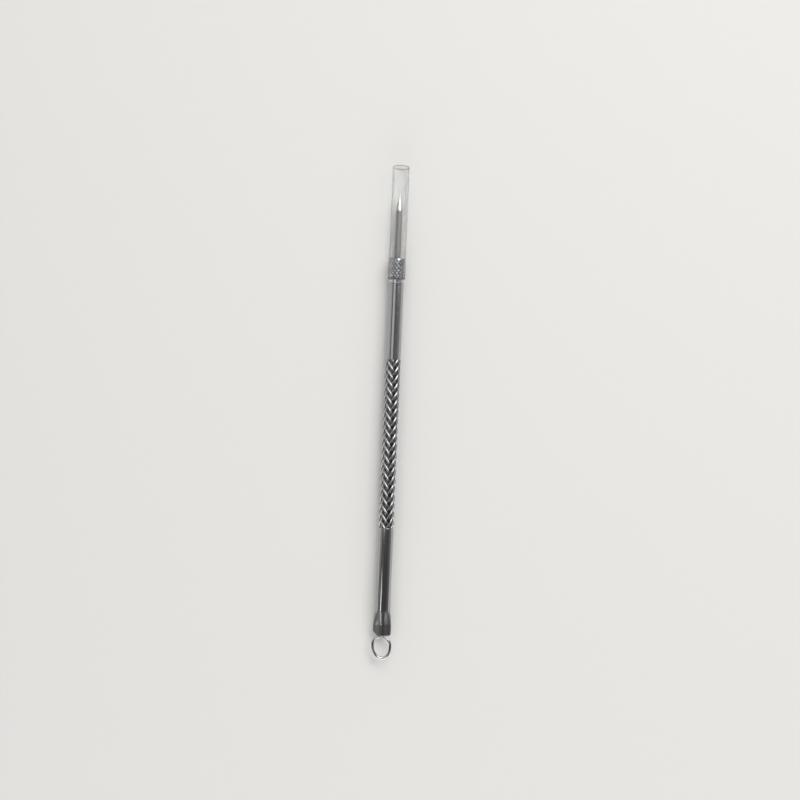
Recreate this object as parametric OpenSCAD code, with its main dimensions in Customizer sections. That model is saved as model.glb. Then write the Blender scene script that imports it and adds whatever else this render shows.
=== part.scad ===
// Blackhead extractor lying on its side, in millimetres.
// A thin steel tube carries a spear-pointed needle in a knurled collar at +Y,
// under a clear push-on cap, and a bent wire loop crimped into it at -Y.
// The origin is below the middle of the whole length, on the surface it lies on.

/* [Handle] */
// outside diameter of the smooth steel tube
handle_d = 3.8; // [3.6:0.1:4.2]
// thickness of the tube's wall
wall_t = 0.4; // [0.3:0.05:0.5]
// smooth length between the grip and the collar
front_shaft_l = 19.7; // [12:0.1:30]
// smooth length between the grip and the crimp
rear_shaft_l = 20.9; // [12:0.1:30]

/* [Grip] */
// length of the woven pattern
grip_l = 43; // [24:0.1:60]
// height of the pattern's crests above the smooth tube
crest_h = 0.1; // [0.06:0.01:0.16]
// depth of the pattern's valleys below the smooth tube
valley_depth = 0.08; // [0.04:0.01:0.1]
// distance along the handle from one strand to the next
weave_pitch = 2.16; // [1.9:0.02:2.6]
// width of one raised strand
strand_w = 0.62; // [0.5:0.02:0.66]

/* [Crimp] */
// length of the flattened end of the tube
crimp_l = 6.7; // [5.5:0.1:9]
// width across the flattened end
crimp_w = 4.6; // [4.2:0.1:4.8]
// thickness of the flattened end over the wire legs
crimp_t = 2.1; // [1.9:0.1:2.6]
// thickness of the flattened end's sides
crimp_side_t = 1.3; // [1.1:0.1:1.6]

/* [Wire loop] */
// diameter of the loop's wire
wire_d = 0.7; // [0.5:0.05:0.8]
// outside width of the loop
loop_w = 5.2; // [5:0.1:5.6]
// length of the loop beyond the crimp
loop_l = 6.2; // [5.8:0.05:7.5]
// length of the two wire legs inside the crimp
leg_l = 5; // [3.5:0.1:5.4]

/* [Needle and collar] */
// diameter of the needle's shank
needle_d = 1.55; // [1.2:0.05:1.8]
// length of the needle in front of the collar
needle_l = 17.1; // [12:0.1:19]
// length of the ground point
point_l = 5; // [3:0.1:7]
// length of the collar in front of the tube
collar_l = 6.3; // [5.8:0.1:9]
// how much wider than the tube the collar's radius is
collar_proud = 0.03; // [0.02:0.01:0.1]

/* [Cap] */
// length of the clear cap
cap_l = 28.7; // [26:0.1:36]
// thickness of the cap's wall
cap_wall = 0.24; // [0.2:0.02:0.5]
// length of the collar that the cap covers
cap_grip_l = 5.2; // [4:0.1:5.4]
// gap all round between the collar and the cap
cap_gap = 0.03; // [0.02:0.01:0.08]

/* [Hidden] */
$fn = 64;
// strands that wind each way round the grip
strand_starts = 8;
// crossings that a strand passes over before it dips below as many
crossings_over = 2;
// bare length left between a strand's end and the side of the one it dips under
float_gap = 0.05;
// where the first column of raised pieces stands, turned from the top
weave_turn = 28;
// length that one cut or bore runs past the solid that it opens
past = 0.5;
// small break of the sharp edges
edge_break = 0.12;

handle_r = handle_d / 2;
bore_r = handle_r - wall_t;
crest_r = handle_r + crest_h;
valley_r = handle_r - valley_depth;
wire_r = wire_d / 2;
needle_r = needle_d / 2;
collar_r = handle_r + collar_proud;
cap_bore_r = collar_r + cap_gap;
cap_r = cap_bore_r + cap_wall;

// stations along the length, from the loop's far end to the cap's outer end
total_l = loop_l + crimp_l + rear_shaft_l + grip_l + front_shaft_l + collar_l + cap_l - cap_grip_l;
loop_y = -total_l / 2;
crimp_y = loop_y + loop_l;
rear_shaft_y = crimp_y + crimp_l;
grip_y = rear_shaft_y + rear_shaft_l;
front_shaft_y = grip_y + grip_l;
collar_y = front_shaft_y + front_shaft_l;
collar_front_y = collar_y + collar_l;
needle_tip_y = collar_front_y + needle_l;
cap_y = collar_front_y - cap_grip_l;

// the cap is the widest round part, so the axis lies one cap radius up
axis_z = cap_r;

// the tube is round at the crimp's start and fully flat after this length
flatten_l = crimp_l * 0.6;
// the squashed bore leaves a thin slit beside the wire legs
slit_t = 0.14;
slit_w = crimp_w - 2 * wall_t;
// the wire legs lie side by side with a hair's breadth between them
leg_x = wire_r + 0.02;
// each bend of the wire is this much thinner and reaches this far into the straights beside it
bend_thinning = 0.01;
bend_overlap = 0.04;
// how much the cap's radius stretches where it grips the collar
cap_stretch = 0.06;
// length over which the cap comes back to its own size
cap_taper_l = 1;
// two fine creases beside the middle of each face: their cutter, its depth and its place
crease_r = 0.15;
crease_depth = 0.05;
crease_x = wire_r * 0.75;
// corners cut off the end of the crimp, the first on the -X side
corner_left = 1;
corner_right = 0.3;

// the collar's tail sits in the tube and the needle's tail in the collar
spigot_l = 5;
needle_root_l = collar_l + spigot_l - 1;
// the point is ground to six flats and ends in a tiny blunt face
point_flats = 6;
point_end_r = 0.04;
// turn of the point's top flat towards +X
point_turn = 8;
// length of the bevel round the collar's front
collar_bevel_l = 0.45;

// A round bar or cone along +Y on the handle's axis.
module bar(from_y, length, r, r_end = -1) {
    translate([0, from_y, axis_z])
        rotate([-90, 0, 0])
            cylinder(h = length, r1 = r, r2 = r_end < 0 ? r : r_end);
}

// One raised strand piece, a box whose long side leans by the weave angle.
// Its top is trimmed later by the cylinder through the crests.
module strand_piece(along, around, lean, length) {
    translate([0, along, axis_z])
        rotate([0, around, 0])
            rotate([0, 0, lean])
                translate([-strand_w / 2, -length / 2, handle_r / 2])
                    cube([strand_w, length, handle_r]);
}

// Strands wind both ways, each over two others and then under two, so their
// raised pieces stand in columns that lean left and right by turns.
module weave() {
    lead = weave_pitch * strand_starts;
    lean = atan(2 * PI * crest_r / lead);
    crossing_l = weave_pitch / 2 / cos(lean);
    tucked_l = strand_w / 2 / sin(2 * lean) + strand_w / 2 / tan(2 * lean) + float_gap;
    piece_l = (crossings_over + 1) * crossing_l - 2 * tucked_l;
    columns = strand_starts;
    rows = ceil(grip_l / weave_pitch) + 1;
    intersection() {
        union()
            for (column = [0 : columns - 1])
                for (row = [0 : rows - 1]) {
                    way = column % 2 == 0 ? 1 : -1;
                    along = front_shaft_y - (row + 0.5 - way * 0.25) * weave_pitch;
                    around = weave_turn + column * 360 / columns;
                    strand_piece(along, around, -way * lean, piece_l);
                }
        bar(grip_y, grip_l, crest_r);
    }
}

module crimp_outline() {
    left_x = -crimp_w / 2 - past;
    right_x = crimp_w / 2 + past;
    polygon([
        [left_x, rear_shaft_y + past],
        [left_x, crimp_y + corner_left + past],
        [left_x + corner_left + past, crimp_y],
        [right_x - corner_right - past, crimp_y],
        [right_x, crimp_y + corner_right + past],
        [right_x, rear_shaft_y + past],
    ]);
}

// The flattened end: a flat-sided oval slab along the axis.
module flat_oval(from_y, length, width, thickness) {
    translate([0, from_y, axis_z])
        rotate([-90, 0, 0])
            linear_extrude(height = length)
                union() {
                    square([width - thickness, thickness], center = true);
                    for (side = [-1, 1])
                        translate([side * (width - thickness) / 2, 0])
                            circle(d = thickness);
                }
}

// Two thin sides spread out from the round tube, with a ridge between them over the wire legs.
module crimp() {
    flat_y = rear_shaft_y - flatten_l;
    difference() {
        union() {
            flat_oval(crimp_y, crimp_l - flatten_l, crimp_w, crimp_side_t);
            hull() {
                flat_oval(flat_y, 0.01, crimp_w, crimp_side_t, $fn = 32);
                bar(rear_shaft_y - 0.01, 0.01, handle_r, $fn = 32);
            }
            bar(crimp_y, crimp_l - flatten_l, crimp_t / 2);
            bar(flat_y, flatten_l, crimp_t / 2, handle_r);
        }
        for (face = [-1, 1])
            for (side = [-1, 1])
                crease(face, side);
    }
}

// A fine straight crease along the ridge, from where the tube starts to flatten.
module crease(face, side) {
    middle_y = rear_shaft_y - flatten_l / 2;
    slope = atan((handle_r - crimp_t / 2) / flatten_l);
    ridge_r = (handle_r + crimp_t / 2) / 2;
    surface_z = sqrt(ridge_r * ridge_r - crease_x * crease_x);
    translate([side * crease_x, middle_y, axis_z + face * (surface_z + crease_r - crease_depth)])
        rotate([-90 + face * slope, 0, 0])
            cylinder(h = flatten_l * 0.9, r = crease_r, center = true);
}

module tube_inside() {
    bar(rear_shaft_y, collar_y - rear_shaft_y + past, bore_r);
    hull() {
        flat_oval(crimp_y + leg_l, 0.01, slit_w, slit_t, $fn = 32);
        bar(rear_shaft_y, 0.01, bore_r, $fn = 32);
    }
    flat_oval(crimp_y - past, leg_l + past + 0.01, slit_w, slit_t);
    for (side = [-1, 1])
        translate([side * leg_x, 0, 0])
            bar(crimp_y - past, leg_l + past, wire_r);
}

module handle_tube() {
    color("silver")
    difference() {
        union() {
            bar(rear_shaft_y, rear_shaft_l, handle_r);
            bar(grip_y, grip_l, valley_r);
            weave();
            bar(front_shaft_y, front_shaft_l - edge_break, handle_r);
            bar(collar_y - edge_break, edge_break, handle_r, handle_r - edge_break);
            intersection() {
                crimp();
                translate([0, 0, axis_z - handle_r])
                    linear_extrude(height = handle_d)
                        crimp_outline();
            }
        }
        tube_inside();
    }
}

module needle_collar() {
    color("gainsboro")
    difference() {
        union() {
            bar(collar_y - spigot_l, spigot_l + edge_break, bore_r);
            bar(collar_y, edge_break, collar_r - edge_break, collar_r);
            bar(collar_y + edge_break, collar_l - edge_break - collar_bevel_l, collar_r);
            bar(collar_front_y - collar_bevel_l, collar_bevel_l, collar_r, collar_r - edge_break);
        }
        bar(collar_y - spigot_l - past, collar_l + spigot_l + 2 * past, needle_r);
    }
}

// The point is what a six-sided pyramid leaves of the round shank.
module needle() {
    root_y = collar_front_y - needle_root_l;
    shoulder_y = needle_tip_y - point_l;
    color("silver")
    union() {
        bar(root_y, shoulder_y - root_y, needle_r);
        intersection() {
            bar(shoulder_y, point_l, needle_r);
            translate([0, shoulder_y, axis_z])
                rotate([-90, 0, 0])
                    rotate([0, 0, point_turn])
                        cylinder(
                            h = point_l,
                            r1 = needle_r / cos(180 / point_flats),
                            r2 = point_end_r,
                            $fn = point_flats
                        );
        }
    }
}

// Direction from one point of the wire's path to another.
function heading(a, b) = atan2(b[1] - a[1], b[0] - a[0]);

// Angle that the path turns through at a corner, left turns positive.
function turn_at(a, b, c) = let(t = heading(b, c) - heading(a, b)) t > 180 ? t - 360 : t < -180 ? t + 360 : t;

// Round wire along a flat path of straights joined by bends, at height zero.
// Each corner's bend takes its own reach from the straights beside it.
module bent_wire(path, reach) {
    last = len(path) - 1;
    for (i = [0 : last - 1]) {
        way = heading(path[i], path[i + 1]);
        straight_l = norm(path[i + 1] - path[i]) - reach[i] - reach[i + 1];
        translate([path[i][0], path[i][1], 0])
            rotate([0, 0, way])
                translate([reach[i], 0, 0])
                    rotate([0, 90, 0])
                        cylinder(h = straight_l, r = wire_r);
    }
    for (i = [1 : last - 1]) {
        way = heading(path[i - 1], path[i]);
        turn = turn_at(path[i - 1], path[i], path[i + 1]);
        side = sign(turn);
        bend_r = reach[i] / tan(abs(turn) / 2);
        overlap = bend_overlap / bend_r * 180 / PI;
        translate([path[i][0], path[i][1], 0])
            rotate([0, 0, way])
                translate([-reach[i], side * bend_r, 0])
                    rotate([0, 0, (side > 0 ? -90 : 90 + turn) - overlap])
                        rotate_extrude(angle = abs(turn) + 2 * overlap)
                            translate([bend_r, 0])
                                circle(r = wire_r - bend_thinning);
    }
}

// One wire bent by hand into an eye: a full left shoulder and a straight slant at the right.
// Its path is laid out from the end of the crimp, where both legs come out.
module wire_loop() {
    side_x = loop_w / 2 - wire_r;
    far_y = wire_r - loop_l;
    flank_y = far_y + loop_l * 0.3;
    path = [
        [-leg_x, leg_l],
        [-leg_x, -wire_d * 0.45],
        [-side_x, -loop_l * 0.15],
        [-side_x, flank_y],
        [-side_x * 0.3, far_y],
        [side_x * 0.55, far_y],
        [side_x, flank_y],
        [side_x, -loop_l * 0.27],
        [leg_x, -wire_d * 0.3],
        [leg_x, leg_l],
    ];
    neck = wire_d * 0.55;
    left = [side_x * 0.56, loop_l * 0.23, side_x * 0.35];
    right = [side_x * 0.42, loop_l * 0.165, side_x * 0.37];
    reach = concat([0, neck], left, right, [neck, 0]);
    color("lightgray")
        translate([0, crimp_y, axis_z])
            bent_wire(path, reach);
}

// Clear tube, open at both ends and a little wider where it grips the collar.
module needle_cap() {
    free_l = cap_l - cap_grip_l - cap_taper_l;
    color("white", 0.4)
    difference() {
        cap_shape(0, cap_r, free_l);
        cap_shape(past, cap_bore_r, free_l);
    }
}

module cap_shape(extra, r, free_l) {
    bar(cap_y - extra, cap_grip_l + extra, r);
    bar(collar_front_y, cap_taper_l, r, r - cap_stretch);
    bar(collar_front_y + cap_taper_l, free_l + extra, r - cap_stretch);
}

handle_tube();
needle_collar();
needle();
wire_loop();
needle_cap();
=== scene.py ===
from math import atan2, cos, hypot, pi, radians, sin, tan

import bpy
import numpy as np
from mathutils import Matrix, Vector


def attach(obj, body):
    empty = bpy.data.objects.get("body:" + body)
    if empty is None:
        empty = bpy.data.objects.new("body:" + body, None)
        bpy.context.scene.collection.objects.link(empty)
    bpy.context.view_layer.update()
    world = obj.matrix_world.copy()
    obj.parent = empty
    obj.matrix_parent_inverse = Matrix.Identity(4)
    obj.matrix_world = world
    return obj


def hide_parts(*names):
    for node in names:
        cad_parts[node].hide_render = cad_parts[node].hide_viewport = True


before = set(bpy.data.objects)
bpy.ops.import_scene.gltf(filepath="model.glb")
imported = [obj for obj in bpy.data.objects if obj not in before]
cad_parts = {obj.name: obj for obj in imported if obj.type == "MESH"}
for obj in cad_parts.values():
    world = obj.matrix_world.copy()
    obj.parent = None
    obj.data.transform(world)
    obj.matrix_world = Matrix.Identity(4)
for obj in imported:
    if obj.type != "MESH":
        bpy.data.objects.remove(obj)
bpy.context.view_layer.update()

# Every size and station below is in millimetres, and this turns it into the scene's metres
MM = 0.001

# Radii from the handle's axis outwards
HANDLE_R = 1.9
BORE_R = 1.5
VALLEY_R = 1.82
COLLAR_R = 1.93
CAP_BORE_R = 1.96
CAP_R = 2.2
CAP_FREE_R = 2.14
CAP_FREE_BORE_R = 1.92
NEEDLE_R = 0.775
NEEDLE_TIP_R = 0.035
WIRE_R = 0.35
AXIS_Z = CAP_R

# Lengths of the parts, from the wire loop to the cap
LOOP_L = 6.2
CRIMP_L = 6.7
REAR_SHAFT_L = 20.9
GRIP_L = 43.0
FRONT_SHAFT_L = 19.7
COLLAR_L = 6.3
CAP_L = 28.7
CAP_GRIP_L = 5.2
NEEDLE_L = 17.1
POINT_L = 5.0
SHANK_SUNK = 3.0

# Widths and turns
LOOP_W = 5.2
POINT_TURN = radians(8)
POINT_FLATS = 6

# Woven grip, its strands half sunk in a slightly thinner core
WEAVE_R = VALLEY_R
WEAVE_RISE = 0.05
WEAVE_PITCH = 2.16
WEAVE_STARTS = 8
WEAVE_TURN = radians(-28.25)
STRAND_W = 0.48
STRAND_H = 0.26
STRAND_POINTS = 320
STRAND_END_GAP = 0.05

# Knurled collar, with a plain ring at its rear and a bevel at its front
KNURL_H = 0.14
KNURL_SUNK = 0.04
KNURL_STARTS = 14
KNURL_ROWS = 8
KNURL_GAP = 0.05
RING_L = 0.75
RING_DROP = 0.02
COLLAR_BEVEL_L = 0.45
COLLAR_BEVEL_H = 0.12

# Crimp: a circle that turns into thin sloping sides with a ridge over the wire legs
CRIMP_HALF_W = 2.3
SIDE_HALF_T = 0.65
RIDGE_H = 0.4
RIDGE_HALF_W = 0.8
FLATTEN_L = CRIMP_L * 0.6
CREASE_X = 0.27
CREASE_HALF_W = 0.07
CREASE_DEPTH = 0.04
CREASE_FRONT_FADE = 0.5
CREASE_REAR_GAP = 2.4
CREASE_REAR_FADE = 0.8
STREAK_H = 0.001
LEFT_CORNER = 1.0
RIGHT_CORNER = 0.3
CORNER_REACH = 3.0
SLIT_L = 2.2
SLIT_HALF_W = 1.7
SLIT_HALF_T = 0.07
LEG_ROOM = 0.02
LEG_SHORT = 0.2

# Stations along the length, from the wire loop to the cap
TOTAL_L = LOOP_L + CRIMP_L + REAR_SHAFT_L + GRIP_L + FRONT_SHAFT_L + COLLAR_L + CAP_L - CAP_GRIP_L
LOOP_Y = -TOTAL_L / 2
CRIMP_Y = LOOP_Y + LOOP_L
REAR_SHAFT_Y = CRIMP_Y + CRIMP_L
GRIP_Y = REAR_SHAFT_Y + REAR_SHAFT_L
FRONT_SHAFT_Y = GRIP_Y + GRIP_L
COLLAR_Y = FRONT_SHAFT_Y + FRONT_SHAFT_L
COLLAR_FRONT_Y = COLLAR_Y + COLLAR_L
NEEDLE_TIP_Y = COLLAR_FRONT_Y + NEEDLE_L
SHOULDER_Y = NEEDLE_TIP_Y - POINT_L
CAP_Y = COLLAR_FRONT_Y - CAP_GRIP_L
CAP_END_Y = CAP_Y + CAP_L

# Softened edges and how finely round shapes are drawn
SEAM = 0.05
GRIP_EDGE_L = 0.05
GRIP_EDGE_H = 0.03
SEGMENTS = 128
POINT_SEGMENTS = 96
WIRE_SEGMENTS = 24
WIRE_STEP = 0.08
GUARD_L = 0.1


# Meshes

def add_piece(name, mesh, material, slot, body, *nodes, sharp_deg=35):
    """Puts a finished mesh in the scene as a piece that stands for CAD nodes."""
    piece = bpy.data.objects.new(name, mesh)
    bpy.context.scene.collection.objects.link(piece)
    mesh.materials.clear()
    mesh.materials.append(material)
    mesh.shade_smooth()
    mesh.set_sharp_from_angle(angle=radians(sharp_deg))
    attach(piece, body)
    if nodes:
        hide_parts(*nodes)
    return piece


def skin(name, rings, joined=False):
    """A closed mesh through rings of points in millimetres, its ends filled unless they join."""
    count, around, _ = rings.shape
    points = (rings.reshape(-1, 3) * MM).tolist()
    faces = []
    spans = count if joined else count - 1
    for i in range(spans):
        a = i * around
        b = (i + 1) % count * around
        for j in range(around):
            k = (j + 1) % around
            faces.append((a + j, a + k, b + k, b + j))
    if not joined:
        last = (count - 1) * around
        faces.append(tuple(range(around - 1, -1, -1)))
        faces.append(tuple(range(last, last + around)))
    mesh = bpy.data.meshes.new(name)
    mesh.from_pydata(points, [], faces)
    mesh.validate()
    return mesh


def guarded(profile):
    """The profile with points close to the ends of each long run, so that its shading stays straight."""
    points = [profile[0]]
    for (y0, r0), (y1, r1) in zip(profile, profile[1:]):
        run = hypot(y1 - y0, r1 - r0)
        if run > 4 * GUARD_L:
            for t in (GUARD_L / run, 1 - GUARD_L / run):
                points.append((y0 + (y1 - y0) * t, r0 + (r1 - r0) * t))
        points.append((y1, r1))
    return points


def directions(count):
    """Angles of this many points evenly round a ring, from straight up."""
    return np.linspace(0, 2 * pi, count, endpoint=False)


def round_ring(y, r, angle):
    """One ring round the handle's axis, its radius one number or one for each point."""
    return np.stack([r * np.sin(angle), np.full_like(angle, y), AXIS_Z + r * np.cos(angle)], axis=1)


def turned(name, profile, joined=False):
    """A lathe shape round the handle's axis, from (station, radius) pairs."""
    angle = directions(SEGMENTS)
    return skin(name, np.array([round_ring(y, r, angle) for y, r in guarded(profile)]), joined)


def smooth_step(x):
    """Nothing below zero, one above one, and a soft rise between."""
    x = np.clip(x, 0, 1)
    return x * x * (3 - 2 * x)


def front_shaft_mesh():
    """Smooth front of the tube, from the grip to the collar, closed across both its ends."""
    return turned("front_shaft", [
        (FRONT_SHAFT_Y, VALLEY_R),
        (FRONT_SHAFT_Y, HANDLE_R - GRIP_EDGE_H),
        (FRONT_SHAFT_Y + GRIP_EDGE_L, HANDLE_R),
        (COLLAR_Y - SEAM, HANDLE_R),
        (COLLAR_Y, HANDLE_R - SEAM),
        (COLLAR_Y, BORE_R),
    ])


def grip_core_mesh():
    """Plain rod under the woven strands."""
    return turned("grip_core", [(GRIP_Y, VALLEY_R), (FRONT_SHAFT_Y, VALLEY_R)])


def crimp_ring(y, angle):
    """One ring of the rear end of the tube, at a distance along the handle."""
    flat = 1 - (1 - np.clip((REAR_SHAFT_Y - y) / FLATTEN_L, 0, 1)) ** 1.2
    half_w = HANDLE_R + (CRIMP_HALF_W - HANDLE_R) * flat
    across = np.sin(angle)
    x = half_w * across
    side = SIDE_HALF_T * (1 - np.abs(across) ** 2.2) ** 0.62
    ridge = RIDGE_H * np.exp(-((x / RIDGE_HALF_W) ** 2)) * (1 - across ** 8)
    half_t = HANDLE_R * np.abs(np.cos(angle)) * (1 - flat) + (side + ridge) * flat
    crease_start = smooth_step((REAR_SHAFT_Y - y) / CREASE_FRONT_FADE)
    crease_end = smooth_step((y - CRIMP_Y - CREASE_REAR_GAP) / CREASE_REAR_FADE)
    for middle in (-CREASE_X, CREASE_X):
        crease = np.exp(-(((x - middle) / CREASE_HALF_W) ** 2))
        half_t -= CREASE_DEPTH * crease_start * crease_end * crease
    streaks = np.sin(x * 19) + np.sin(x * 31 + 1.3) + 0.7 * np.sin(x * 47 + 0.4)
    half_t += STREAK_H * streaks * flat * (1 - across ** 8)
    z = half_t * np.sign(np.cos(angle))
    left_corner = np.maximum(-x - (CRIMP_HALF_W - LEFT_CORNER), 0)
    right_corner = np.maximum(x - (CRIMP_HALF_W - RIGHT_CORNER), 0)
    near_end = 1 - smooth_step((y - CRIMP_Y) / CORNER_REACH)
    return np.stack([x, y + (left_corner + right_corner) * near_end, AXIS_Z + z], axis=1)


def slit_ring(y, angle):
    """One ring of the squashed bore, a slit that is wider round the two wire legs."""
    leg_fade = 0.15
    x = SLIT_HALF_W * np.sin(angle)
    at_legs = 1 - smooth_step((np.abs(x) - 2 * WIRE_R) / leg_fade)
    half_t = SLIT_HALF_T + (WIRE_R + LEG_ROOM - SLIT_HALF_T) * at_legs
    z = half_t * np.sign(np.cos(angle)) * np.abs(np.cos(angle)) ** 0.4
    corner = np.maximum(-x - (CRIMP_HALF_W - LEFT_CORNER), 0)
    return np.stack([x, y + corner, AXIS_Z + z], axis=1)


def rear_shaft_mesh():
    """Rear shaft and crimp in one skin, closed inside the slit at the end."""
    angle = directions(SEGMENTS * 3)
    rings = [slit_ring(CRIMP_Y + SLIT_L, angle), slit_ring(CRIMP_Y, angle)]
    lip_w = 0.95
    lip_t = 0.92
    inner_lip = crimp_ring(CRIMP_Y, angle)
    inner_lip[:, 0] *= lip_w
    inner_lip[:, 2] = AXIS_Z + (inner_lip[:, 2] - AXIS_Z) * lip_t
    rings.append(inner_lip)
    rounded_y = CRIMP_Y + 0.08
    spread_y = CRIMP_Y + 0.3
    for y in (rounded_y, *np.linspace(spread_y, REAR_SHAFT_Y, 60)):
        rings.append(crimp_ring(y, angle))
    front_edge = [
        (GRIP_Y - GUARD_L, HANDLE_R),
        (GRIP_Y - GRIP_EDGE_L, HANDLE_R),
        (GRIP_Y, HANDLE_R - GRIP_EDGE_H),
        (GRIP_Y, VALLEY_R),
    ]
    rings += [round_ring(y, r, angle) for y, r in front_edge]
    return skin("rear_shaft", np.array(rings))


def needle_point_mesh():
    """The end of the needle, ground to flats, its top flat turned a little to the right."""
    angle = directions(POINT_SEGMENTS)
    flat_angle = 2 * pi / POINT_FLATS
    off_middle = (angle - POINT_TURN + flat_angle / 2) % flat_angle - flat_angle / 2
    rings = []
    for t in np.linspace(0, 1, 64) ** 1.2:
        reach = NEEDLE_R + (NEEDLE_TIP_R - NEEDLE_R) * t
        r = np.minimum(NEEDLE_R, reach / np.cos(off_middle))
        rings.append(round_ring(SHOULDER_Y + POINT_L * t, r, angle))
    return skin("needle_point", np.array(rings))


def bent_path(corners, reaches, step):
    """Points about step apart along straights whose joining bends take these reaches from them."""
    points = [np.array(corners[0], dtype=float)]
    for before, corner, after, reach in zip(corners, corners[1:], corners[2:], reaches):
        into = np.subtract(corner, before) / hypot(*np.subtract(corner, before))
        out = np.subtract(after, corner) / hypot(*np.subtract(after, corner))
        turn = atan2(into[0] * out[1] - into[1] * out[0], into @ out)
        bend_r = reach / tan(abs(turn) / 2)
        side = np.array([-into[1], into[0]]) * np.sign(turn)
        start = np.array(corner) - into * reach
        centre = start + side * bend_r
        run = hypot(*(start - points[-1]))
        last = points[-1]
        for t in np.linspace(0, 1, max(2, int(run / step)))[1:]:
            points.append(last + (start - last) * t)
        for t in np.linspace(0, abs(turn), max(4, int(bend_r * abs(turn) / step)))[1:]:
            points.append(centre - side * bend_r * cos(t) + into * bend_r * sin(t))
    last = points[-1]
    end = np.array(corners[-1], dtype=float)
    for t in np.linspace(0, 1, max(2, int(hypot(*(end - last)) / step)))[1:]:
        points.append(last + (end - last) * t)
    return np.array(points)


def bent_wire_mesh():
    """The hand-bent eye with both its legs, swept along one path."""
    leg_x = WIRE_R + LEG_ROOM
    side_x = LOOP_W / 2 - WIRE_R
    leg_end_y = CRIMP_Y + SLIT_L - LEG_SHORT
    far_y = LOOP_Y + WIRE_R
    flank_y = far_y + LOOP_L * 0.3
    corners = [
        (-leg_x, leg_end_y),
        (-leg_x, CRIMP_Y - WIRE_R * 0.9),
        (-side_x, CRIMP_Y - LOOP_L * 0.15),
        (-side_x, flank_y),
        (-side_x * 0.3, far_y),
        (side_x * 0.55, far_y),
        (side_x, flank_y),
        (side_x, CRIMP_Y - LOOP_L * 0.27),
        (leg_x, CRIMP_Y - WIRE_R * 0.6),
        (leg_x, leg_end_y),
    ]
    neck = WIRE_R * 1.1
    left = [side_x * 0.56, LOOP_L * 0.23, side_x * 0.35]
    right = [side_x * 0.42, LOOP_L * 0.165, side_x * 0.37]
    reaches = [neck, *left, *right, neck]
    path = bent_path(corners, reaches, WIRE_STEP)
    way = np.gradient(path, axis=0)
    way /= np.hypot(way[:, 0], way[:, 1])[:, None]
    angle = directions(WIRE_SEGMENTS)
    rings = np.empty((len(path), len(angle), 3))
    rings[:, :, 0] = path[:, 0:1] - way[:, 1:2] * WIRE_R * np.cos(angle)
    rings[:, :, 1] = path[:, 1:2] + way[:, 0:1] * WIRE_R * np.cos(angle)
    rings[:, :, 2] = AXIS_Z + WIRE_R * np.sin(angle)
    return skin("bent_wire", rings)


def cap_mesh():
    """Thin clear tube, stretched a little where it grips the collar."""
    rim = 0.05
    stretched_y = COLLAR_FRONT_Y - 0.6
    free_y = COLLAR_FRONT_Y + 0.8
    return turned("clear_cap", [
        (CAP_Y, CAP_BORE_R + rim),
        (CAP_Y, CAP_R - 2 * rim),
        (CAP_Y + 2 * rim, CAP_R),
        (stretched_y, CAP_R),
        (free_y, CAP_FREE_R),
        (CAP_END_Y - rim, CAP_FREE_R),
        (CAP_END_Y, CAP_FREE_R - rim),
        (CAP_END_Y, CAP_FREE_BORE_R + rim),
        (CAP_END_Y - rim, CAP_FREE_BORE_R),
        (free_y, CAP_FREE_BORE_R),
        (COLLAR_FRONT_Y, CAP_BORE_R),
        (CAP_Y + rim, CAP_BORE_R),
    ], joined=True)


def collar_core_mesh():
    """The collar without its knurl: plain ring, sunken middle and bevelled front."""
    ring_r = COLLAR_R - RING_DROP
    root_r = COLLAR_R - KNURL_H + KNURL_SUNK
    bevel_y = COLLAR_FRONT_Y - COLLAR_BEVEL_L
    front_r = COLLAR_R - COLLAR_BEVEL_H
    ring_slope_l = 0.08
    edge_l = 0.03
    return turned("collar_core", [
        (COLLAR_Y, NEEDLE_R),
        (COLLAR_Y, ring_r - SEAM),
        (COLLAR_Y + SEAM, ring_r),
        (COLLAR_Y + RING_L, ring_r),
        (COLLAR_Y + RING_L + ring_slope_l, root_r),
        (bevel_y - KNURL_GAP, root_r),
        (bevel_y, COLLAR_R),
        (COLLAR_FRONT_Y - edge_l, front_r),
        (COLLAR_FRONT_Y, front_r - SEAM),
        (COLLAR_FRONT_Y, NEEDLE_R),
    ], joined=True)


# Node trees

class Tree:
    """Adds and links nodes. An input is called by its name, or by its place as i0, i1 and so on."""

    def __init__(self, tree):
        self.tree = tree

    def add(self, kind, settings=None, **inputs):
        node = self.tree.nodes.new(kind)
        for key, value in (settings or {}).items():
            setattr(node, key, value)
        for key, value in inputs.items():
            self.feed(node, key, value)
        return node

    def feed(self, node, key, value):
        numbered = key[0] == "i" and key[1:].isdigit()
        socket = node.inputs[int(key[1:]) if numbered else key.replace("_", " ")]
        if isinstance(value, bpy.types.NodeSocket):
            self.tree.links.new(value, socket)
        else:
            socket.default_value = value

    def math(self, operation, a, b=0.0, c=0.0):
        node = self.add("ShaderNodeMath", {"operation": operation})
        for i, value in enumerate((a, b, c)):
            self.feed(node, f"i{i}", value)
        return node.outputs[0]


def new_tree(name, kind, inputs, outputs):
    """A node group with named sockets, and a Tree to fill it."""
    group = bpy.data.node_groups.new(name, kind)
    for socket_name, socket_kind, default in inputs:
        socket = group.interface.new_socket(name=socket_name, in_out="INPUT", socket_type=socket_kind)
        if default is not None:
            socket.default_value = default
    for socket_name, socket_kind in outputs:
        group.interface.new_socket(name=socket_name, in_out="OUTPUT", socket_type=socket_kind)
    tree = Tree(group)
    return group, tree, tree.add("NodeGroupInput"), tree.add("NodeGroupOutput")


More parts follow.
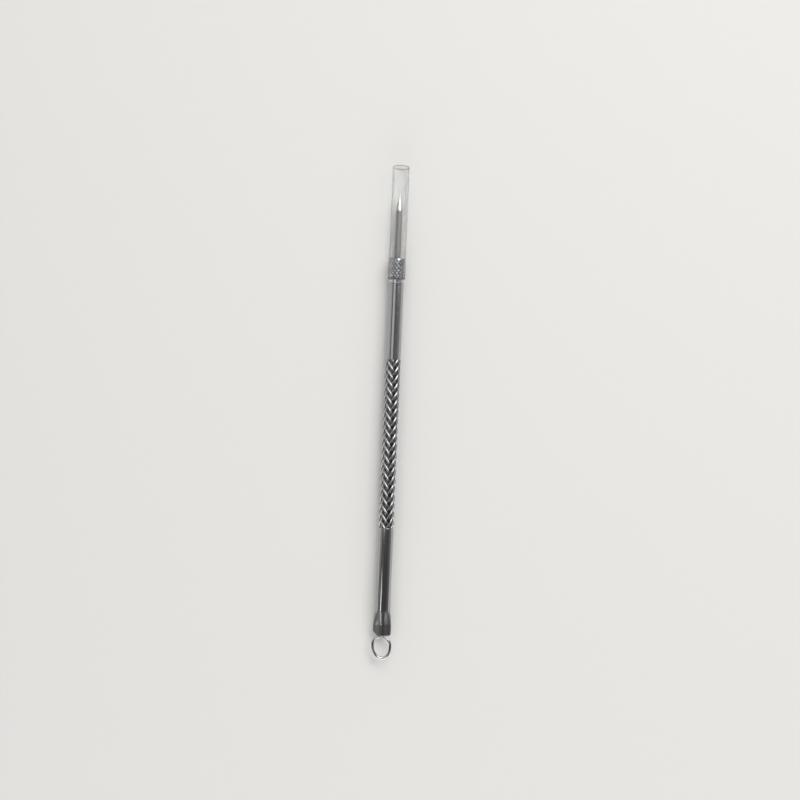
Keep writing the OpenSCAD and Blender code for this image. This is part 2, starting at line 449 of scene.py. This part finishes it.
def radial_direction(t, position, axis_height):
    """Unit vector from the handle's axis out through a position."""
    apart = t.add("ShaderNodeSeparateXYZ", i0=position)
    up = t.math("SUBTRACT", apart.outputs[2], axis_height)
    out = t.add("ShaderNodeCombineXYZ", i0=apart.outputs[0], i1=0.0, i2=up)
    return t.add("ShaderNodeVectorMath", {"operation": "NORMALIZE"}, i0=out.outputs[0]).outputs[0]


# Geometry node groups for what repeats

def weave_group():
    """Strands that wind both ways round the handle, each over two others and then under two."""
    group, t, given, result = new_tree("Woven Strands", "GeometryNodeTree", [
        ("Front", "NodeSocketFloat", 0.0),
        ("Length", "NodeSocketFloat", 0.043),
        ("Axis Height", "NodeSocketFloat", 0.0022),
        ("Pitch", "NodeSocketFloat", 0.00216),
        ("Starts", "NodeSocketInt", 8),
        ("Middle Radius", "NodeSocketFloat", 0.00182),
        ("Rise", "NodeSocketFloat", 0.00005),
        ("Strand Width", "NodeSocketFloat", 0.00048),
        ("Strand Height", "NodeSocketFloat", 0.00026),
        ("Turn", "NodeSocketFloat", 0.0),
        ("Points", "NodeSocketInt", 320),
        ("Material", "NodeSocketMaterial", None),
    ], [("Geometry", "NodeSocketGeometry")])
    g = given.outputs
    rear = t.math("SUBTRACT", g["Front"], g["Length"])
    start = t.add("ShaderNodeCombineXYZ", i0=0.0, i1=rear, i2=0.0)
    end = t.add("ShaderNodeCombineXYZ", i0=0.0, i1=g["Front"], i2=0.0)
    line = t.add("GeometryNodeCurvePrimitiveLine", Start=start.outputs[0], End=end.outputs[0])
    fine = t.add("GeometryNodeResampleCurve", Curve=line.outputs[0], Count=g["Points"])
    strands = t.math("MULTIPLY", g["Starts"], 2.0)
    spots = t.add("GeometryNodePoints", Count=strands)
    index = t.add("GeometryNodeInputIndex")
    named = t.add(
        "GeometryNodeStoreNamedAttribute",
        {"data_type": "INT", "domain": "POINT"},
        Geometry=spots.outputs[0], Name="strand", Value=index.outputs[0],
    )
    copies = t.add("GeometryNodeInstanceOnPoints", Points=named.outputs[0], Instance=fine.outputs[0])
    real = t.add("GeometryNodeRealizeInstances", Geometry=copies.outputs[0])
    strand = t.add("GeometryNodeInputNamedAttribute", {"data_type": "INT"}, Name="strand").outputs[0]
    place = t.add("ShaderNodeSeparateXYZ", i0=t.add("GeometryNodeInputPosition").outputs[0])

    # one winding way for the first half of the strands and the other for the rest
    second_half = t.math("GREATER_THAN", strand, t.math("SUBTRACT", g["Starts"], 0.5))
    way = t.math("MULTIPLY_ADD", second_half, -2.0, 1.0)
    along = t.math("DIVIDE", t.math("SUBTRACT", place.outputs[1], g["Front"]), g["Pitch"])
    wound = t.math("MULTIPLY", t.math("ADD", along, 0.5), way)
    step = t.math("ADD", strand, wound)
    angle = t.math("ADD", t.math("MULTIPLY", step, t.math("DIVIDE", 2 * pi, g["Starts"])), g["Turn"])
    phase = t.math("SUBTRACT", step, t.math("MULTIPLY_ADD", way, 0.5, 0.75))
    wave = t.math("MULTIPLY", t.math("COSINE", t.math("MULTIPLY", phase, pi)), 1.8)
    lift = t.math("MAXIMUM", t.math("MINIMUM", wave, 1.0), -1.0)
    radius = t.math("MULTIPLY_ADD", lift, g["Rise"], g["Middle Radius"])
    x = t.math("MULTIPLY", t.math("SINE", angle), radius)
    z = t.math("MULTIPLY_ADD", t.math("COSINE", angle), radius, g["Axis Height"])
    wrapped = t.add("ShaderNodeCombineXYZ", i0=x, i1=place.outputs[1], i2=z)
    moved = t.add("GeometryNodeSetPosition", Geometry=real.outputs[0], Position=wrapped.outputs[0])

    # flat oval strand, its broad side to the handle
    out = radial_direction(t, t.add("GeometryNodeInputPosition").outputs[0], g["Axis Height"])
    upright = t.add("GeometryNodeSetCurveNormal", {"mode": "FREE"}, Curve=moved.outputs[0], Normal=out)
    circle = t.add("GeometryNodeCurvePrimitiveCircle", {"mode": "RADIUS"}, Resolution=12, Radius=0.5)
    size = t.add("ShaderNodeCombineXYZ", i0=g["Strand Height"], i1=g["Strand Width"], i2=1.0)
    oval = t.add("GeometryNodeTransform", Geometry=circle.outputs[0], Scale=size.outputs[0])
    swept = t.add(
        "GeometryNodeCurveToMesh",
        Curve=upright.outputs[0], Profile_Curve=oval.outputs[0], Fill_Caps=True,
    )
    coated = t.add("GeometryNodeSetMaterial", Geometry=swept.outputs[0], Material=g["Material"])
    t.feed(result, "Geometry", coated.outputs[0])
    return group


def knurl_group():
    """Small blunt pyramids in staggered rows round the collar."""
    group, t, given, result = new_tree("Diamond Knurl", "GeometryNodeTree", [
        ("Rear", "NodeSocketFloat", 0.0),
        ("Length", "NodeSocketFloat", 0.005),
        ("Axis Height", "NodeSocketFloat", 0.0022),
        ("Root Radius", "NodeSocketFloat", 0.00179),
        ("Height", "NodeSocketFloat", 0.00014),
        ("Starts", "NodeSocketInt", 14),
        ("Rows", "NodeSocketInt", 8),
        ("Material", "NodeSocketMaterial", None),
    ], [("Geometry", "NodeSocketGeometry")])
    g = given.outputs
    count = t.math("MULTIPLY", g["Starts"], g["Rows"])
    index = t.add("GeometryNodeInputIndex").outputs[0]
    row = t.math("FLOOR", t.math("DIVIDE", index, g["Starts"]))
    stagger = t.math("MULTIPLY", t.math("MODULO", row, 2.0), 0.5)
    turn = t.math("DIVIDE", t.math("ADD", index, stagger), g["Starts"])
    angle = t.math("MULTIPLY", turn, 2 * pi)
    row_l = t.math("DIVIDE", g["Length"], g["Rows"])
    y = t.math("MULTIPLY_ADD", t.math("ADD", row, 0.5), row_l, g["Rear"])
    middle_r = t.math("MULTIPLY_ADD", g["Height"], 0.5, g["Root Radius"])
    x = t.math("MULTIPLY", t.math("SINE", angle), g["Root Radius"])
    z = t.math("MULTIPLY_ADD", t.math("COSINE", angle), g["Root Radius"], g["Axis Height"])
    spot = t.add("ShaderNodeCombineXYZ", i0=x, i1=y, i2=z)
    spots = t.add("GeometryNodePoints", Count=count, Position=spot.outputs[0])
    out = radial_direction(t, t.add("GeometryNodeInputPosition").outputs[0], g["Axis Height"])
    stand = t.add("FunctionNodeAlignRotationToVector", {"axis": "Z"}, Vector=out)
    squared = t.add(
        "FunctionNodeRotateRotation", {"rotation_space": "LOCAL"},
        Rotation=stand.outputs[0], Rotate_By=(0, 0, pi / 4),
    )
    around = t.math("DIVIDE", t.math("MULTIPLY", middle_r, 2 * pi), g["Starts"])
    pyramid = t.add(
        "GeometryNodeMeshCone",
        {"fill_type": "NGON"},
        Vertices=4,
        Radius_Top=t.math("MULTIPLY", around, 0.1),
        Radius_Bottom=t.math("MULTIPLY", around, 0.66),
        Depth=g["Height"],
    )
    copies = t.add(
        "GeometryNodeInstanceOnPoints",
        Points=spots.outputs[0], Instance=pyramid.outputs[0], Rotation=squared.outputs[0],
    )
    real = t.add("GeometryNodeRealizeInstances", Geometry=copies.outputs[0])
    coated = t.add("GeometryNodeSetMaterial", Geometry=real.outputs[0], Material=g["Material"])
    t.feed(result, "Geometry", coated.outputs[0])
    return group


def grown(name, group, values):
    """The plain mesh that a geometry node group makes with these named inputs."""
    carrier = bpy.data.objects.new(name + "_carrier", bpy.data.meshes.new(name + "_carrier"))
    bpy.context.scene.collection.objects.link(carrier)
    modifier = carrier.modifiers.new(name, "NODES")
    modifier.node_group = group
    for item in group.interface.items_tree:
        if item.item_type == "SOCKET" and item.in_out == "INPUT" and item.name in values:
            modifier[item.identifier] = values[item.name]
    bpy.context.view_layer.update()
    evaluated = carrier.evaluated_get(bpy.context.evaluated_depsgraph_get())
    mesh = bpy.data.meshes.new_from_object(evaluated)
    mesh.name = name
    bpy.data.objects.remove(carrier)
    return mesh


# Materials

def grain_group():
    """Noise stretched along the handle, mapped between two values."""
    group, t, given, result = new_tree("Drawn Grain", "ShaderNodeTree", [
        ("Across", "NodeSocketFloat", 2000.0),
        ("Along", "NodeSocketFloat", 60.0),
        ("Low", "NodeSocketFloat", 0.0),
        ("High", "NodeSocketFloat", 1.0),
    ], [("Value", "NodeSocketFloat")])
    g = given.outputs
    coordinates = t.add("ShaderNodeTexCoord")
    scale = t.add("ShaderNodeCombineXYZ", i0=g["Across"], i1=g["Along"], i2=g["Across"])
    scaled = t.add(
        "ShaderNodeVectorMath", {"operation": "MULTIPLY"},
        i0=coordinates.outputs["Object"], i1=scale.outputs[0],
    )
    noise = t.add("ShaderNodeTexNoise", Vector=scaled.outputs[0], Scale=1.0, Detail=3.0, Roughness=0.6)
    spread = t.add("ShaderNodeMapRange", i0=noise.outputs[0], i1=0.3, i2=0.7, i3=g["Low"], i4=g["High"])
    t.feed(result, "Value", spread.outputs[0])
    return group


def tone_group():
    """Two close colours mixed in soft patches."""
    group, t, given, result = new_tree("Soft Tone", "ShaderNodeTree", [
        ("Dark", "NodeSocketColor", (0.4, 0.4, 0.4, 1)),
        ("Light", "NodeSocketColor", (0.6, 0.6, 0.6, 1)),
        ("Scale", "NodeSocketFloat", 300.0),
    ], [("Color", "NodeSocketColor")])
    g = given.outputs
    coordinates = t.add("ShaderNodeTexCoord")
    place = coordinates.outputs["Object"]
    noise = t.add("ShaderNodeTexNoise", Vector=place, Scale=g["Scale"], Detail=2.0)
    blend = t.add("ShaderNodeMix", {"data_type": "RGBA"})
    t.feed(blend, "i0", noise.outputs[0])
    t.feed(blend, "i6", g["Dark"])
    t.feed(blend, "i7", g["Light"])
    t.feed(result, "Color", blend.outputs[2])
    return group


def painted_hollow_shade_group():
    """Painted shade: darkens a colour close to the handle's axis, in the hollows of a rolled pattern."""
    group, t, given, result = new_tree("Hollow Shade", "ShaderNodeTree", [
        ("Color", "NodeSocketColor", (0.6, 0.6, 0.6, 1)),
        ("Axis Height", "NodeSocketFloat", 0.0022),
        ("Deep Radius", "NodeSocketFloat", 0.00182),
        ("Clean Radius", "NodeSocketFloat", 0.002),
        ("Deep Shade", "NodeSocketFloat", 0.3),
    ], [("Color", "NodeSocketColor")])
    g = given.outputs
    coordinates = t.add("ShaderNodeTexCoord")
    apart = t.add("ShaderNodeSeparateXYZ", i0=coordinates.outputs["Object"])
    up = t.math("SUBTRACT", apart.outputs[2], g["Axis Height"])
    across_squared = t.math("MULTIPLY", apart.outputs[0], apart.outputs[0])
    radius = t.math("SQRT", t.math("MULTIPLY_ADD", up, up, across_squared))
    shade = t.add(
        "ShaderNodeMapRange",
        i0=radius, i1=g["Deep Radius"], i2=g["Clean Radius"], i3=g["Deep Shade"], i4=1.0,
    )
    scaled = t.add(
        "ShaderNodeVectorMath", {"operation": "SCALE"}, i0=g["Color"], Scale=shade.outputs[0],
    )
    t.feed(result, "Color", scaled.outputs[0])
    return group


def dull_and_shade_group():
    """One on the pressed sides of the crimp, nothing on its ridge and on the round tube; there the steel
    is rougher and darkened with painted shade.
    """
    group, t, given, result = new_tree("Pressed Sides", "ShaderNodeTree", [
        ("Front", "NodeSocketFloat", -0.05),
        ("Fade", "NodeSocketFloat", 0.0015),
        ("Ridge Half Width", "NodeSocketFloat", 0.0004),
    ], [("Value", "NodeSocketFloat")])
    g = given.outputs
    coordinates = t.add("ShaderNodeTexCoord")
    apart = t.add("ShaderNodeSeparateXYZ", i0=coordinates.outputs["Object"])
    full = t.math("SUBTRACT", g["Front"], g["Fade"])
    along = t.add("ShaderNodeMapRange", i0=apart.outputs[1], i1=g["Front"], i2=full, i3=0.0, i4=1.0)
    aside = t.math("DIVIDE", t.math("ABSOLUTE", apart.outputs[0]), g["Ridge Half Width"])
    across = t.add("ShaderNodeMapRange", i0=aside, i1=1.0, i2=1.8, i3=0.0, i4=1.0)
    t.feed(result, "Value", t.math("MULTIPLY", along.outputs[0], across.outputs[0]))
    return group


GRAIN = grain_group()
TONE = tone_group()
PAINTED_HOLLOW_SHADE = painted_hollow_shade_group()
DULL_AND_SHADE = dull_and_shade_group()


def use_group(t, group, **inputs):
    """Places a shader node group with its own values and gives its output."""
    node = t.add("ShaderNodeGroup", {"node_tree": group})
    for key, value in inputs.items():
        t.feed(node, key, value)
    return node.outputs[0]


def steel(name, dark, light, rough, bump, hollow=None, dull_and_shade=None):
    """Polished steel: soft tone patches, drawn grain in its gloss and a faint grain relief, and, where
    asked, painted shade in its hollows and on pressed sides.
    """
    painted_side_shade = 0.35
    dull_rough = 0.16
    material = bpy.data.materials.new(name)
    material.use_nodes = True
    t = Tree(material.node_tree)
    shader = material.node_tree.nodes["Principled BSDF"]
    color = use_group(t, TONE, Dark=(*dark, 1), Light=(*light, 1), Scale=400.0)
    gloss = use_group(t, GRAIN, Across=2500.0, Along=90.0, Low=rough[0], High=rough[1])
    if hollow:
        # painted shade in the hollows, between the grip's strands and between the knurl's pyramids
        color = use_group(t, PAINTED_HOLLOW_SHADE, Color=color, **hollow)
    if dull_and_shade:
        # the pressed sides are rougher, and painted shade darkens their colour
        mask = use_group(t, DULL_AND_SHADE, **dull_and_shade)
        shade = t.math("MULTIPLY_ADD", mask, -painted_side_shade, 1.0)
        color = t.add("ShaderNodeVectorMath", {"operation": "SCALE"}, i0=color, Scale=shade).outputs[0]
        gloss = t.math("MULTIPLY_ADD", mask, dull_rough, gloss)
    t.feed(shader, "Base_Color", color)
    t.feed(shader, "Metallic", 1.0)
    t.feed(shader, "Roughness", gloss)
    relief = use_group(t, GRAIN, Across=9000.0, Along=300.0, Low=0.0, High=1.0)
    bumped = t.add("ShaderNodeBump", Strength=bump, Distance=0.00002, Height=relief)
    t.feed(shader, "Normal", bumped.outputs[0])
    return material


def end_shade(t, start, end, reach, shade):
    """This shade at both ends of a tube that lies along Y, fading to none within this reach of them."""
    coordinates = t.add("ShaderNodeTexCoord")
    along = t.add("ShaderNodeSeparateXYZ", i0=coordinates.outputs["Object"]).outputs[1]
    nearest = t.math("MINIMUM", t.math("SUBTRACT", along, start), t.math("SUBTRACT", end, along))
    return t.add("ShaderNodeMapRange", i0=nearest, i1=0.0, i2=reach, i3=shade, i4=1.0).outputs[0]


def clear_plastic(name):
    """Clear cap plastic that lets the lamps' light through to what lies under it."""
    material = bpy.data.materials.new(name)
    material.use_nodes = True
    t = Tree(material.node_tree)
    shader = material.node_tree.nodes["Principled BSDF"]
    rim_reach = 0.25 * MM
    mouth_shade_reach = 9 * MM
    far_away = 1.0
    # painted shade at both cut ends of the cap, where its rims look dark
    cut_ends = end_shade(t, CAP_Y * MM, CAP_END_Y * MM, rim_reach, 0.45)
    tone = use_group(t, TONE, Dark=(0.965, 0.97, 0.97, 1), Light=(0.985, 0.985, 0.985, 1), Scale=200.0)
    shaded = t.add("ShaderNodeVectorMath", {"operation": "SCALE"}, i0=tone, Scale=cut_ends).outputs[0]
    t.feed(shader, "Base_Color", shaded)
    t.feed(shader, "Metallic", 0.0)
    t.feed(shader, "Transmission_Weight", 1.0)
    t.feed(shader, "IOR", 1.46)
    t.feed(shader, "Roughness", use_group(t, GRAIN, Across=900.0, Along=60.0, Low=0.0, High=0.01))

    # the slanting wall takes a little more light on its longer path through the plastic, and painted shade
    # darkens it much more, most of all over the collar at the cap's mouth
    facing = t.add("ShaderNodeLayerWeight", Blend=0.5).outputs["Facing"]
    painted_mouth_shade = end_shade(t, CAP_Y * MM, far_away, mouth_shade_reach, 0.3)
    slanted = t.add(
        "ShaderNodeMapRange", {"interpolation_type": "SMOOTHSTEP"},
        i0=facing, i1=0.45, i2=0.92, i3=1.0, i4=t.math("MULTIPLY", painted_mouth_shade, 0.6),
    ).outputs[0]
    painted_edge_shade = t.add(
        "ShaderNodeVectorMath", {"operation": "SCALE"},
        i0=(0.975, 0.978, 0.978), Scale=t.math("MULTIPLY", slanted, cut_ends),
    ).outputs[0]
    see_through = t.add("ShaderNodeBsdfTransparent", Color=painted_edge_shade)
    glassy = t.add("ShaderNodeMapRange", i0=facing, i1=0.1, i2=0.9, i3=0.1, i4=0.5).outputs[0]
    thin_wall = t.add("ShaderNodeMixShader", i0=glassy)
    t.feed(thin_wall, "i1", see_through.outputs[0])
    t.feed(thin_wall, "i2", shader.outputs[0])
    light_path = t.add("ShaderNodeLightPath")
    mixed = t.add("ShaderNodeMixShader", i0=light_path.outputs["Is Shadow Ray"])
    t.feed(mixed, "i1", thin_wall.outputs[0])
    t.feed(mixed, "i2", see_through.outputs[0])
    t.feed(material.node_tree.nodes["Material Output"], "Surface", mixed.outputs[0])
    return material


def plain_floor(name):
    """Pale matt floor."""
    material = bpy.data.materials.new(name)
    material.use_nodes = True
    t = Tree(material.node_tree)
    shader = material.node_tree.nodes["Principled BSDF"]
    t.feed(shader, "Base_Color", (0.725, 0.715, 0.695, 1))
    t.feed(shader, "Roughness", 0.9)
    return material


tube_dark = (0.37, 0.37, 0.375)
tube_light = (0.46, 0.46, 0.465)
tube_rough = (0.12, 0.2)
tube_steel = steel("Tube Steel", tube_dark, tube_light, tube_rough, bump=0.1)
crimped_steel = steel(
    "Crimped Steel", tube_dark, tube_light, tube_rough, bump=0.1,
    # painted shade and a duller gloss on the crimp's pressed sides
    dull_and_shade={"Front": REAR_SHAFT_Y * MM},
)
grip_steel = steel(
    "Grip Steel", (0.55, 0.55, 0.555), (0.69, 0.69, 0.695), (0.05, 0.09), bump=0.04,
    # painted shade in the hollows between the woven strands
    hollow={
        "Axis_Height": AXIS_Z * MM,
        "Deep_Radius": (WEAVE_R + 0.04) * MM,
        "Clean_Radius": (WEAVE_R + 0.17) * MM,
        "Deep_Shade": 0.2,
    },
)
collar_steel = steel(
    "Collar Steel", (0.52, 0.52, 0.54), (0.66, 0.66, 0.68), (0.1, 0.16), bump=0.1,
    # painted shade in the grooves of the knurl
    hollow={
        "Axis_Height": AXIS_Z * MM,
        "Deep_Radius": (COLLAR_R - 0.11) * MM,
        "Clean_Radius": (COLLAR_R - 0.03) * MM,
        "Deep_Shade": 0.1,
    },
)
needle_steel = steel("Needle Steel", (0.27, 0.265, 0.255), (0.32, 0.315, 0.305), (0.6, 0.68), bump=0.2)
point_steel = steel("Ground Steel", (0.32, 0.315, 0.305), (0.38, 0.375, 0.365), (0.24, 0.3), bump=0.1)
wire_steel = steel("Wire Steel", (0.44, 0.44, 0.44), (0.52, 0.52, 0.52), (0.08, 0.13), bump=0.05)
cap_plastic = clear_plastic("Clear Plastic")

# The tool's pieces
add_piece("front_shaft", front_shaft_mesh(), tube_steel, "tube_steel", "tool", "handle_tube")
add_piece("grip_core", grip_core_mesh(), grip_steel, "tube_steel", "tool", "handle_tube")
add_piece("rear_shaft", rear_shaft_mesh(), crimped_steel, "tube_steel", "tool", "handle_tube")
weave_mesh = grown("grip_weave", weave_group(), {
    "Front": (FRONT_SHAFT_Y - STRAND_END_GAP) * MM,
    "Length": (GRIP_L - 2 * STRAND_END_GAP) * MM,
    "Axis Height": AXIS_Z * MM,
    "Pitch": WEAVE_PITCH * MM,
    "Starts": WEAVE_STARTS,
    "Middle Radius": WEAVE_R * MM,
    "Rise": WEAVE_RISE * MM,
    "Strand Width": STRAND_W * MM,
    "Strand Height": STRAND_H * MM,
    "Turn": WEAVE_TURN,
    "Points": STRAND_POINTS,
    "Material": grip_steel,
})
add_piece("grip_weave", weave_mesh, grip_steel, "tube_steel", "tool", "handle_tube", sharp_deg=60)

add_piece("collar_core", collar_core_mesh(), collar_steel, "collar_steel", "tool", "needle_collar")
knurl_mesh = grown("collar_knurl", knurl_group(), {
    "Rear": (COLLAR_Y + RING_L + KNURL_GAP) * MM,
    "Length": (COLLAR_L - RING_L - COLLAR_BEVEL_L - 2 * KNURL_GAP) * MM,
    "Axis Height": AXIS_Z * MM,
    "Root Radius": (COLLAR_R - KNURL_H) * MM,
    "Height": KNURL_H * MM,
    "Starts": KNURL_STARTS,
    "Rows": KNURL_ROWS,
    "Material": collar_steel,
})
add_piece("collar_knurl", knurl_mesh, collar_steel, "collar_steel", "tool", "needle_collar", sharp_deg=20)

shank_mesh = turned("needle_shank", [(COLLAR_FRONT_Y - SHANK_SUNK, NEEDLE_R), (SHOULDER_Y, NEEDLE_R)])
add_piece("needle_shank", shank_mesh, needle_steel, "needle_steel", "tool", "needle")
add_piece("needle_point", needle_point_mesh(), point_steel, "needle_steel", "tool", "needle", sharp_deg=14)
add_piece("bent_wire", bent_wire_mesh(), wire_steel, "wire_steel", "tool", "wire_loop")
add_piece("clear_cap", cap_mesh(), cap_plastic, "clear_plastic", "cap", "needle_cap", sharp_deg=50)

# Floor, lamps and sky

floor_half = 600 * MM
floor_drop = 0.01 * MM
floor_corners = [(x * floor_half, y * floor_half, 0) for x, y in ((-1, -1), (1, -1), (1, 1), (-1, 1))]
floor_mesh = bpy.data.meshes.new("floor")
floor_mesh.from_pydata(floor_corners, [], [(0, 1, 2, 3)])
floor_mesh.materials.append(plain_floor("Pale Floor"))
floor = bpy.data.objects.new("floor", floor_mesh)
floor.location = (0, 0, -floor_drop)
bpy.context.scene.collection.objects.link(floor)

LAMP_DISTANCE = 900 * MM


def lamp(name, across_deg, along_deg, size_x, size_y, brightness):
    """A soft box over the tool, leaning across it and along it by these angles from straight up."""
    data = bpy.data.lights.new(name, "AREA")
    data.shape = "RECTANGLE"
    data.size = size_x
    data.size_y = size_y
    data.energy = brightness * pi * size_x * size_y
    thing = bpy.data.objects.new(name, data)
    away = Vector((tan(radians(across_deg)), tan(radians(along_deg)), 1)).normalized()
    thing.location = away * LAMP_DISTANCE
    across = (Vector((1, 0, 0)) - away * away.x).normalized()
    thing.rotation_euler = Matrix((across, away.cross(across), away)).transposed().to_euler()
    bpy.context.scene.collection.objects.link(thing)


lamp("window_box", across_deg=30, along_deg=33, size_x=0.64, size_y=0.42, brightness=5)
lamp("window_top", across_deg=10, along_deg=53, size_x=0.3, size_y=0.26, brightness=5)
lamp("left_box", across_deg=-24, along_deg=14, size_x=0.5, size_y=0.75, brightness=0.7)
lamp("rear_strip", across_deg=-38, along_deg=-38, size_x=0.14, size_y=0.34, brightness=2.6)
lamp("near_box", across_deg=20, along_deg=-72, size_x=1.2, size_y=0.3, brightness=5)


def soft_sky():
    """Studio light that is dim overhead, paler low at the sides and palest low at both ends."""
    world = bpy.data.worlds.new("Soft Sky")
    world.use_nodes = True
    bpy.context.scene.world = world
    t = Tree(world.node_tree)
    direction = t.add("ShaderNodeSeparateXYZ", i0=t.add("ShaderNodeTexCoord").outputs["Generated"])

    def rise(axis, near, far, low, high):
        """Goes softly from low to high as the direction's part along this axis goes from near to far."""
        return t.add(
            "ShaderNodeMapRange", {"interpolation_type": "SMOOTHSTEP"},
            i0=direction.outputs[axis], i1=near, i2=far, i3=low, i4=high,
        ).outputs[0]

    overhead = rise(1, -0.3, 0.05, 0.085, 0.16)
    side_gain = rise(1, -0.3, 0.05, 0.16, 0.4)
    left_gain = t.math("MULTIPLY", side_gain, rise(0, -0.5, 0.5, 1.35, 0.6))
    low_down = t.math("MULTIPLY", rise(2, 0.62, 0.42, 0, 1), left_gain)
    ends = t.math("ADD", rise(1, 0.6, 0.9, 0, 1.6), rise(1, -0.86, -0.95, 0, 2.4))
    level = t.math("ADD", t.math("ADD", overhead, low_down), ends)
    sky = world.node_tree.nodes["Background"]
    t.feed(sky, "Color", level)
    t.feed(sky, "Strength", 1.0)
    backdrop = t.add("ShaderNodeBackground", Color=(0.8, 0.8, 0.79, 1), Strength=1.0)
    light_path = t.add("ShaderNodeLightPath")
    mixed = t.add("ShaderNodeMixShader", i0=light_path.outputs["Is Camera Ray"])
    t.feed(mixed, "i1", sky.outputs[0])
    t.feed(mixed, "i2", backdrop.outputs[0])
    t.feed(world.node_tree.nodes["World Output"], "Surface", mixed.outputs[0])


soft_sky()
bpy.context.scene.view_settings.view_transform = "Standard"

# Camera straight above, turned a little, as the photograph was taken
camera_height = 245 + AXIS_Z
camera_data = bpy.data.cameras.new("camera")
camera_data.sensor_width = 36
camera_data.lens = 43
camera_data.clip_start = 0.005
camera_data.clip_end = 10
camera = bpy.data.objects.new("camera", camera_data)
camera.location = (2.18 * MM, 3.5 * MM, camera_height * MM)
camera.rotation_euler = (0, 0, radians(2.395))
bpy.context.scene.collection.objects.link(camera)
bpy.context.scene.camera = camera
